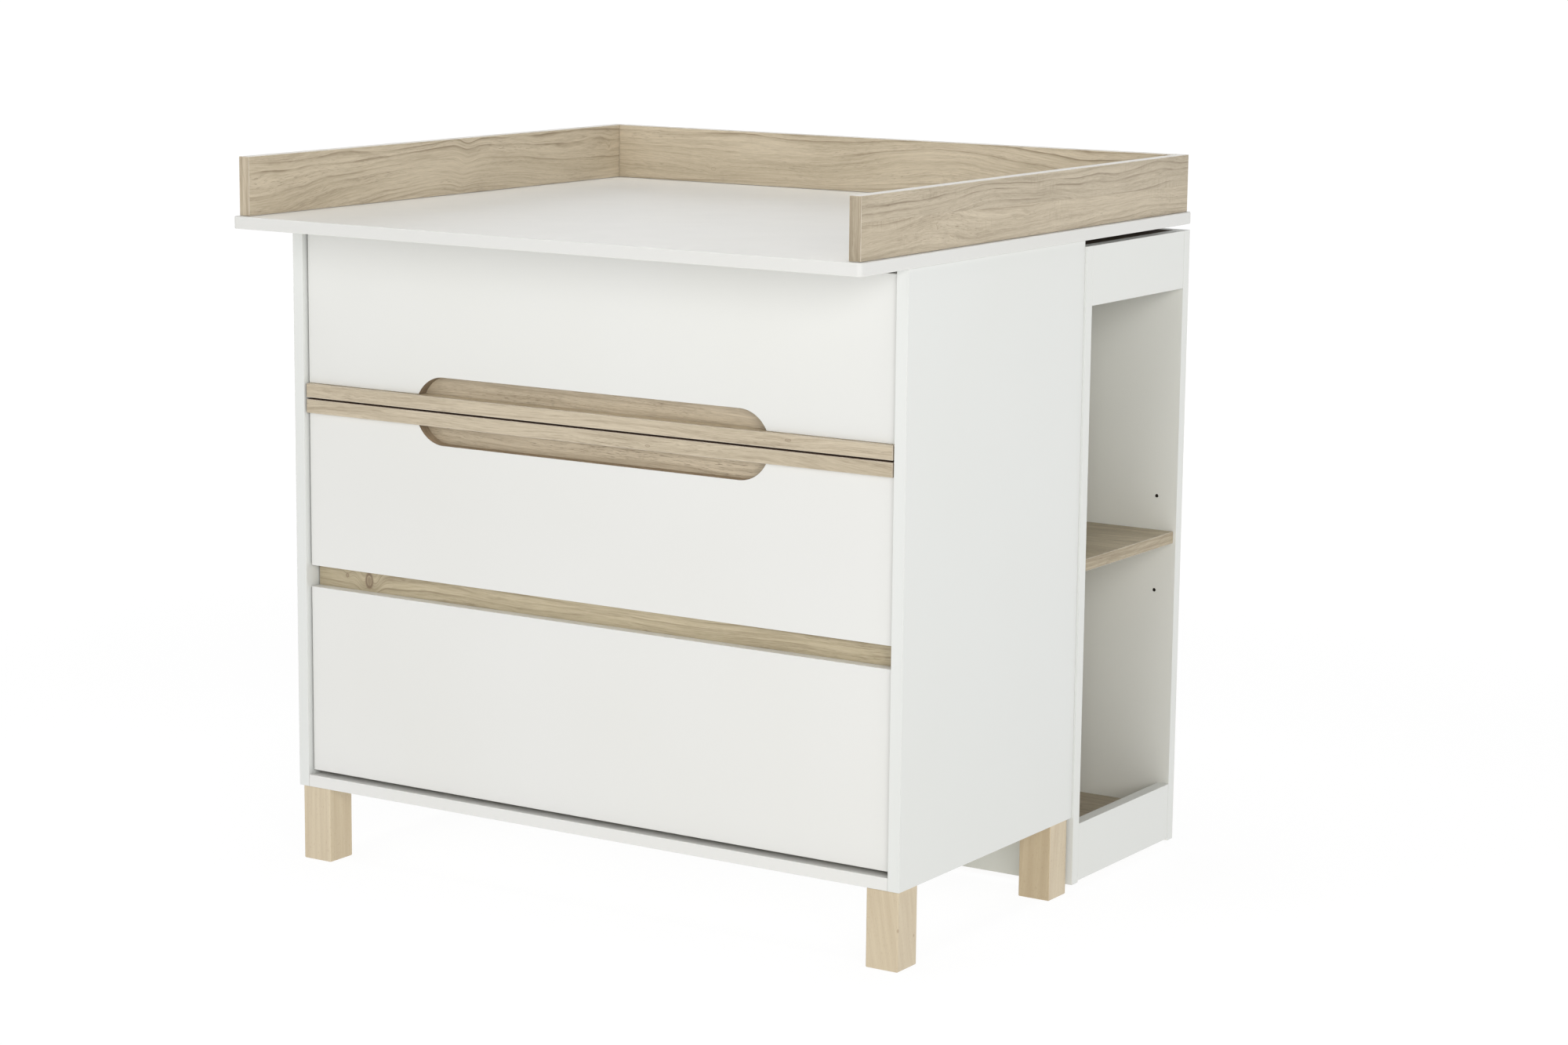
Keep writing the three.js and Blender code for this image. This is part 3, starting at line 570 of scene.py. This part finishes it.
# what sets each oak piece's print apart; grain is along X, and across it Z, where none is given
OAK_PIECES = {
    "guard_rail_left": dict(
        grain=Y, seed=1.3, tone=0.985, figure=0.8, waves=0.7, lines=1.2, streaky=0.80, pale_top=True,
        knots=[(0.370, 0.016, 0.0016, 1.0, 0.5)],
        dips=[(0.028, 0.024, 0.0062), (0.190, 0.110, -0.007)]),
    "guard_rail_right": dict(
        grain=Y, seed=4.1, tone=0.955, figure=0.62, waves=0.8, lines=1.25, streaky=0.85,
        combing=0.30, stave=(0.010, 0.93), end_tone=0.87, pale_top=True,
        knots=[(-0.240, -0.0035, 0.0014, 1.0, 0.5), (0.224, 0.0145, 0.005, 3.0, 0.10)]),
    "guard_rail_back": dict(
        seed=7.9, tone=1.055, figure=0.7, waves=0.6, lines=1.3, streaky=0.75, pale_top=True,
        knots=[(-0.280, -0.026, 0.0022, 1.6, 0.25)]),
    # top_tone here is painted light on the bar's upper face
    "top_drawer_grip_bar": dict(
        seed=11.2, tone=0.985, figure=0.25, waves=0.5, lines=0.6, gap_shade_face=-1, top_tone=1.45,
        knots=[(0.298, -0.009, 0.0014, 2.6, 0.6)]),
    "middle_drawer_grip_bar": dict(
        seed=12.6, tone=0.985, figure=0.5, waves=0.5, lines=0.7, gap_shade_face=1,
        knots=[(0.095, -0.014, 0.0013, 2.4, 0.6)]),
    "top_drawer_subfront": dict(
        seed=17.0, tone=1.09, figure=0.3, waves=0.4, lines=0.5, pores=1.7, gap_shade_face=-1),
    "middle_drawer_subfront": dict(
        seed=20.6, tone=1.09, figure=0.3, waves=0.4, lines=0.5, pores=1.7, gap_shade_face=1),
    "bottom_drawer_subfront": dict(
        seed=23.6, tone=0.935, figure=0.4, waves=0.6, warmth=0.09,
        knots=[(-0.3965, 0.1200, 0.0024, 0.9, 0.80), (-0.3600, 0.1165, 0.0088, 0.60, 0.95)]),
    "unit_shelf_left": dict(across=Y, seed=29.1, tone=0.90, warmth=0.05, top_tone=1.13),
    "unit_shelf_right": dict(across=Y, seed=31.5, tone=0.90, warmth=0.05, top_tone=1.13),
    "unit_floor": dict(across=Y, seed=37.7, tone=0.90),
}

# knots are (x, y, z, radius) from the leg's centre; a slant tips the grain from the upright
LEG_KNOTS = {"leg_front_right": [(0.0225, -0.0218, 0.002, 0.0022), (0.0225, 0.015, -0.012, 0.0017)]}
LEG_SLANTS = {"leg_front_right": 0.16, "leg_rear_right": -0.06}
# painted shade on each leg: factors for its face towards the drawer fronts and for its face towards +X
LEG_FACE_PAINTED_SHADE = {"leg_front_left": (0.99, 0.87), "leg_front_right": (0.94, 0.96),
                  "leg_rear_right": (0.72, 0.97), "leg_rear_left": (0.90, 0.93)}


def dress_oak(node, arris):
    settings = {"grain": X, "across": Z, **OAK_PIECES[node]}
    dress(node, oak_decor(f"oak_{node}", centre_of(node), **settings), arris, OAK_EDGE)


def dress_leg(node):
    centre = centre_of(node)
    seed = 50.0 + 7 * centre.x + 11 * centre.y
    material = beech(f"beech_{node}", centre, seed, LEG_SLANTS.get(node, 0.0), LEG_KNOTS.get(node, ()),
                     LEG_FACE_PAINTED_SHADE[node])
    dress(node, material, None, LEG_EDGE)


def dress_everything():
    front_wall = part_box("unit_front_panel")[1].y
    rear_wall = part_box("unit_rear_panel")[0].y
    banding = white_banding("white_edge_banding")
    arris = oak_arris("oak_arris")
    board = hardboard("hardboard")
    # a node takes the first row whose word its name holds
    rows = (
        ("runner", coated_steel("runner_epoxy"), None, THIN),
        ("bolt", plated_steel("zinc_plate"), None, THIN),
        ("box_floor", board, None, THIN),
        ("chest_back", board, None, THIN),
        ("changing_board", white_decor("white_melamine_top", gloss=GLOSS_TOP, banded=True),
         banding, TOP_EDGE),
        ("unit_front_panel", white_decor("white_melamine_unit_front", UNIT_TINT, inside=1,
                                         wall=front_wall, painted_shade_under_chest=True), banding, CRISP),
        ("unit_rear_panel", white_decor("white_melamine_unit_rear", UNIT_TINT, inside=-1,
                                        wall=rear_wall), banding, CRISP),
        ("top_drawer_front", white_decor("white_melamine_top_front", TOP_FRONT_PAINTED_SHADE, cut=RECESS_CUT),
         None, SOFT),
        ("middle_drawer_front", white_decor("white_melamine_middle_front", cut=RECESS_CUT), None, SOFT),
        ("bottom_drawer_front", white_decor("white_melamine_top_edge_painted_light", edge_up="bright"), None, SOFT),
        ("chest_side", white_decor("white_melamine_side_painted_cool_light", CHEST_SIDE_PAINTED_COOL_LIGHT), banding, CRISP),
        ("rail", white_decor("white_melamine_unit", UNIT_TINT), banding, BANDED),
        ("unit_top", white_decor("white_melamine_raw_top_painted_shade", edge_up="raw"), None, SOFT),
        ("", white_decor("white_melamine"), banding, BANDED),
    )
    for node in NODES:
        if node in OAK_PIECES:
            dress_oak(node, arris)
        elif node.startswith("leg"):
            dress_leg(node)
        else:
            dress(node, *next(look for word, *look in rows if word in node))


# ------------------------------------------------------------------ small hardware
RUNNER_OFF_BOX = 0.003        # near end of a roller, from the drawer box's side
ROLLER_WIDTH = 0.008
ROLLER_LIFT = 0.0071          # its axis above the foot of the channel
CHANNEL_WEB = 0.012           # inner face of the channel, from the drawer box's side
CABINET_ROLLER_INSET = 0.0112
DRAWER_ROLLER_INSET = 0.0108
SCREW_FRONT_INSET, SCREW_REAR_INSET, SCREW_LIFT = 0.0312, 0.034, 0.020
SCREW_SUNK = 0.00002          # into the channel's web, so that no gap shows
PIN_DROP = 0.0025             # axis of a shelf pin below the shelf
PIN_END_INSET = 0.030
PIN_MIDDLE_INSET = 0.040
CAM_RISES = (0.040, 0.105)    # above the foot of a drawer box side
CAM_INSET = 0.034             # from the end of the side


def millimetres(*points):
    return [(r / 1000, along / 1000) for r, along in points]


# profiles to turn: (radius, distance along the axis)
ROLLER = millimetres((2.0, 0.8), (3.4, 0.8), (3.9, 0.1), (5.1, 0), (5.7, 0.6), (5.7, 7.4), (5.1, 8),
                     (3.9, 7.9), (3.4, 7.2), (2.0, 7.2))
ROLLER_RIVET = millimetres((0, -1.4), (1.9, -1.4), (1.9, 7.25), (2.7, 7.3), (2.6, 7.55), (1.6, 7.9),
                           (0, 8.0))
PAN_HEAD = millimetres((0, 0.55), (0.9, 0.7), (1.25, 1.45), (2.4, 1.4), (3.3, 0.85), (3.6, 0.25),
                       (3.6, 0), (0, 0))
SHELF_PIN = millimetres((0, -8), (2.0, -8), (2.4, -7.4), (2.4, 0.05), (3.5, 0.05), (3.6, 0.4),
                        (3.5, 0.8), (2.4, 0.8), (2.4, 7.5), (1.9, 8), (0, 8))
CAM_DISC = millimetres((0, 0.02), (1.5, 0.04), (1.9, 0.42), (6.9, 0.42), (7.4, 0.25), (7.5, 0), (0, 0))


def turned_rows(form, profile, turn, segments):
    """A ring of points for each point of the profile, or a single one where it is on the axis."""
    rows = []
    for radius, along in profile:
        count = segments if radius > 0 else 1
        angles = [2 * math.pi * i / count for i in range(count)]
        rows.append([form.verts.new(turn @ Vector((radius * math.cos(a), radius * math.sin(a), along)))
                     for a in angles])
    return rows


def turned(name, profile, place, direction, material, body, segments=20):
    """A turned piece on a body. A profile that stays off the axis all the way is a ring."""
    form = bmesh.new()
    turn = Vector(direction).to_track_quat("Z", "Y").to_matrix().to_4x4()
    rows = turned_rows(form, profile, turn, segments)
    bored = all(radius > 0 for radius, _ in profile)
    for first, second in list(zip(rows, rows[1:])) + ([(rows[-1], rows[0])] if bored else []):
        for i in range(segments):
            j = (i + 1) % segments
            corners = (first[i % len(first)], first[j % len(first)],
                       second[j % len(second)], second[i % len(second)])
            form.faces.new(list(dict.fromkeys(corners)))
    bmesh.ops.recalc_face_normals(form, faces=form.faces)
    bmesh.ops.translate(form, verts=form.verts, vec=place)
    mesh = bpy.data.meshes.new(name)
    form.to_mesh(mesh)
    form.free()
    mesh.shade_smooth()
    mesh.set_sharp_from_angle(angle=math.radians(38))
    mesh.materials.append(material)
    piece = bpy.data.objects.new(name, mesh)
    bpy.context.scene.collection.objects.link(piece)
    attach(piece, body)


def runner_hardware(drawer, name, side, steel, plastic):
    """Rollers with their rivets, and the channel's screws, at one side of a drawer."""
    box_low, box_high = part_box(f"{drawer}_box_side_{name}")
    channel_low, channel_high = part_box(f"{drawer}_cabinet_runner_{name}")
    face = box_high.x if side > 0 else box_low.x
    outwards = Vector((side, 0, 0))
    axis_z = box_low.z + ROLLER_LIFT
    near = face + side * RUNNER_OFF_BOX
    far = face + side * (RUNNER_OFF_BOX + ROLLER_WIDTH)
    for end, body, y, start, direction in (
            ("cabinet", "carcass", channel_low.y + CABINET_ROLLER_INSET, far, -outwards),
            ("drawer", drawer, box_high.y - DRAWER_ROLLER_INSET, near, outwards)):
        place = Vector((start, y, axis_z))
        turned(f"{drawer}_{end}_roller_{name}", ROLLER, place, direction, plastic, body,
               28)
        turned(f"{drawer}_{end}_rivet_{name}", ROLLER_RIVET, place, direction, steel, body)
    web = face + side * (CHANNEL_WEB - SCREW_SUNK)
    for end, y in (("front", channel_low.y + SCREW_FRONT_INSET),
                   ("rear", channel_high.y - SCREW_REAR_INSET)):
        place = Vector((web, y, box_low.z + SCREW_LIFT))
        turned(f"{drawer}_channel_screw_{end}_{name}", PAN_HEAD, place, -outwards, steel, "carcass")


def cam_fittings(drawer, name, side, cast):
    """Cam discs that draw the box's side to the sub-front and to the box's back."""
    low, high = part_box(f"{drawer}_box_side_{name}")
    inner = low.x if side > 0 else high.x
    for end, y in (("front", low.y + CAM_INSET), ("rear", high.y - CAM_INSET)):
        for level, rise in zip(("low", "high"), CAM_RISES):
            place = Vector((inner, y, low.z + rise))
            turned(f"{drawer}_cam_{end}_{level}_{name}", CAM_DISC, place, (-side, 0, 0), cast, drawer,
                   segments=32)


def shelf_pins(name, side, steel):
    """Four pins in the unit's panels carry each shelf."""
    shelf_low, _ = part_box(f"unit_shelf_{name}")
    _, front_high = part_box("unit_front_panel")
    rear_low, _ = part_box("unit_rear_panel")
    _, divider_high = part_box("unit_divider")
    columns = {"outer": front_high.x - PIN_END_INSET, "inner": divider_high.x + PIN_MIDDLE_INSET}
    for column, x in columns.items():
        for wall, y, direction in (("front", front_high.y, 1), ("rear", rear_low.y, -1)):
            place = Vector((side * x, y, shelf_low.z - PIN_DROP))
            turned(f"shelf_pin_{wall}_{column}_{name}", SHELF_PIN, place, (0, direction, 0), steel,
                   "carcass")


def add_hardware():
    steel = plated_steel("zinc_plated_hardware")
    cast = plated_steel("cast_zinc", CAST_ZINC)
    plastic = nylon("roller_nylon")
    for name, side in SIDES:
        shelf_pins(name, side, steel)
        for drawer in DRAWERS:
            runner_hardware(drawer, name, side, steel, plastic)
            cam_fittings(drawer, name, side, cast)


# ------------------------------------------------------------------ camera, light, floor
CAMERA_PLACE = (2.594, -3.903, 1.284)
CAMERA_YAW, CAMERA_PITCH, CAMERA_ROLL = (math.radians(a) for a in (32.591, 10.006, 0.589))
CAMERA_LENS, SENSOR_WIDTH = 83.42, 36.0
CAMERA_NEAR, CAMERA_FAR = 0.05, 400.0

# name: azimuth and elevation seen from LIGHT_MIDDLE (0, 0 is straight in front of the drawers,
# 90 is off the table's right end), distance, size, watts
SOFTBOXES = {
    "front_left": (-35.0, 35.0, 5.5, (2.8, 2.2), 26.0),
    "front_right": (42.0, 14.0, 5.5, (2.6, 2.4), 108.0),
    "right": (62.0, 16.0, 5.5, (2.6, 2.4), 11.5),
    "above": (0.0, 88.0, 4.0, (3.0, 3.0), 112.0),
}
UNSEEN_IN_GLOSS = ("front_right",)      # it would glare on the changing board, seen from behind
LIGHT_MIDDLE = Vector((0.0, 0.0, 0.5))

HORIZON_GLOW, SKY_GLOW = 1.0, 0.06      # strengths of the surround, low down and overhead
HORIZON_TOP, SKY_FOOT = (math.sin(math.radians(a)) for a in (14.0, 34.0))

FLOOR_GLOW = 0.91                       # near the table; it rises to HORIZON_GLOW further off
FLOOR_GLOW_RADII = (1.2, 4.0)
FLOOR_GREYS = ((0.120, 0.120, 0.120), (0.115, 0.115, 0.115))
FLOOR_HALF_SIZE = 120.0


def make_camera():
    data = bpy.data.cameras.new("camera")
    data.lens, data.sensor_width = CAMERA_LENS, SENSOR_WIDTH
    data.clip_start, data.clip_end = CAMERA_NEAR, CAMERA_FAR
    camera = bpy.data.objects.new("camera", data)
    turn = Matrix.Rotation(CAMERA_YAW, 4, "Z") @ Matrix.Rotation(math.pi / 2 - CAMERA_PITCH, 4, "X")
    turn = turn @ Matrix.Rotation(CAMERA_ROLL, 4, "Z")
    camera.matrix_world = Matrix.Translation(CAMERA_PLACE) @ turn
    bpy.context.scene.collection.objects.link(camera)
    bpy.context.scene.camera = camera


def softbox(name, azimuth, elevation, distance, size, power):
    data = bpy.data.lights.new(name, "AREA")
    data.shape = "RECTANGLE"
    data.size, data.size_y = size
    data.energy = power
    lamp = bpy.data.objects.new(name, data)
    a, e = math.radians(azimuth), math.radians(elevation)
    back = Vector((math.sin(a) * math.cos(e), -math.cos(a) * math.cos(e), math.sin(e)))
    lamp.location = LIGHT_MIDDLE + back * distance
    lamp.rotation_mode = "QUATERNION"
    lamp.rotation_quaternion = (-back).to_track_quat("-Z", "Y")
    lamp.visible_glossy = name not in UNSEEN_IN_GLOSS
    bpy.context.scene.collection.objects.link(lamp)


def surround(name):
    """White walls up to the eye's height, and a dimmer ceiling over them."""
    world = bpy.data.worlds.new(name)
    world.use_nodes = True
    nodes, links = world.node_tree.nodes, world.node_tree.links
    height = nodes.new("ShaderNodeSeparateXYZ")
    links.new(nodes.new("ShaderNodeTexCoord").outputs["Generated"], height.inputs[0])
    glow = nodes.new("ShaderNodeMapRange")
    glow.interpolation_type = "SMOOTHSTEP"
    links.new(height.outputs["Z"], glow.inputs["Value"])
    for key, value in (("From Min", HORIZON_TOP), ("From Max", SKY_FOOT),
                       ("To Min", HORIZON_GLOW), ("To Max", SKY_GLOW)):
        glow.inputs[key].default_value = value
    links.new(glow.outputs[0], nodes["Background"].inputs["Strength"])
    nodes["Background"].inputs["Color"].default_value = (1, 1, 1, 1)
    return world


def floor_material(name):
    """Back-lit white studio table: mostly its own light, so shadows on it stay faint."""
    s = Shader(name)
    soft = s.noise(s.place, 0.6, 2.0)
    away = s.vector("LENGTH", s.place)
    glow = s.ramp(away, *FLOOR_GLOW_RADII, FLOOR_GLOW, HORIZON_GLOW)
    s.feed(s.bsdf.inputs["Emission Strength"], glow)
    colour = s.blend(s.ramp(soft, 0.3, 0.7), *FLOOR_GREYS)
    s.feed(s.bsdf.inputs["Base Color"], colour)
    s.feed(s.bsdf.inputs["Roughness"], s.ramp(soft, 0.3, 0.7, 0.85, 0.9))
    s.bsdf.inputs["Emission Color"].default_value = (1, 1, 1, 1)
    s.bsdf.inputs["Specular IOR Level"].default_value = 0.0
    return s.material


def make_floor(name):
    mesh = bpy.data.meshes.new(name)
    form = bmesh.new()
    bmesh.ops.create_grid(form, x_segments=2, y_segments=2, size=FLOOR_HALF_SIZE)
    form.to_mesh(mesh)
    form.free()
    mesh.materials.append(floor_material(name))
    floor = bpy.data.objects.new(name, mesh)
    bpy.context.scene.collection.objects.link(floor)


def make_studio():
    scene = bpy.context.scene
    scene.view_settings.view_transform = "Standard"
    scene.world = surround("studio")
    for name, settings in SOFTBOXES.items():
        softbox(name, *settings)
    make_floor("studio_floor")


# ------------------------------------------------------------------ the scene
make_camera()
make_studio()
dress_everything()
add_hardware()
